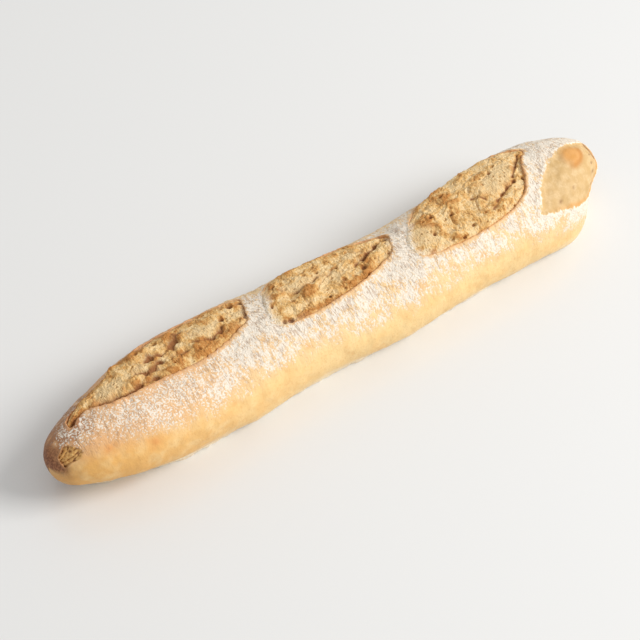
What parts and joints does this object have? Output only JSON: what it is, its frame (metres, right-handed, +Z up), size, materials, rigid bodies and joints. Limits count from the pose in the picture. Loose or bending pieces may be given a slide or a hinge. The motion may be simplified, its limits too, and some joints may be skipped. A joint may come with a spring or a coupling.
{
  "type": "baguette",
  "caption": "Flour-dusted rustic baguette with blunt rounded tips, a flat base and long slashes torn open along its top.",
  "frame": {"origin": "under the middle of the loaf, on the surface it lies on: the bottom centre of its box", "axes": "+X along the loaf to its right tip, -Y to the flank that the picture shows, +Z up"},
  "size_m": [0.41, 0.0814, 0.0528],
  "materials": {
    "crust": "dry baked crust, golden to pale yellow, dusted with white flour, with cream and golden crumb in the slashes"
  },
  "bodies": {
    "root": {"loaf": "crust"}
  },
  "joints": []
}
